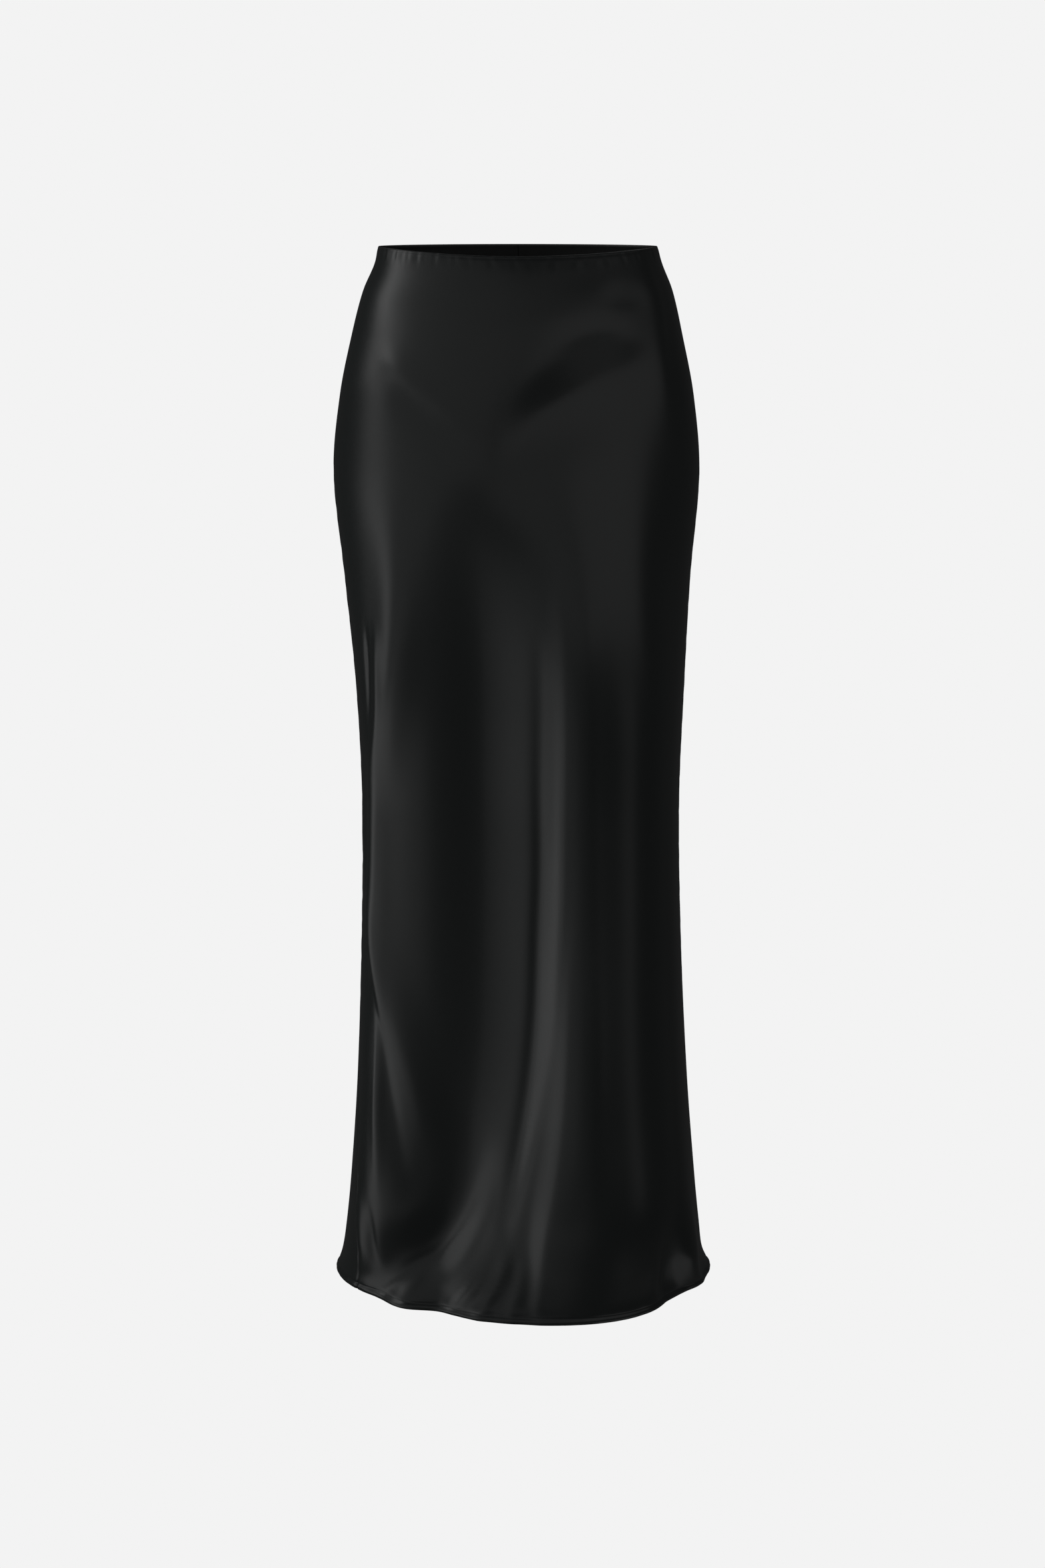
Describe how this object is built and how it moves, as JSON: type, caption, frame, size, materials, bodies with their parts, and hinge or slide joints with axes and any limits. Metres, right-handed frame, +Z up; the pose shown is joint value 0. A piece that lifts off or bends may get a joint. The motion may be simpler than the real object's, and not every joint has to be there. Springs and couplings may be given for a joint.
{
  "type": "satin skirt",
  "caption": "Long bias-cut satin skirt, filled out as worn, with a faced waist, two side seams and a narrow turned hem.",
  "frame": {"origin": "middle of the waist opening, level with the waist edge at the side seams", "axes": "+Z up out of the waist, -Y to the front, +X to the right of someone who looks at the front"},
  "size_m": [0.3557, 0.3107, 0.972],
  "materials": {
    "satin": "black satin with a soft directional sheen",
    "facing": "the same black satin as a stayed waist facing, duller than the outside",
    "thread": "black sewing thread, softly glossy"
  },
  "bodies": {
    "root": {"panel_front": "satin", "panel_back": "satin", "hem_front": "satin", "hem_back": "satin", "waist_facing": "facing"}
  },
  "joints": []
}
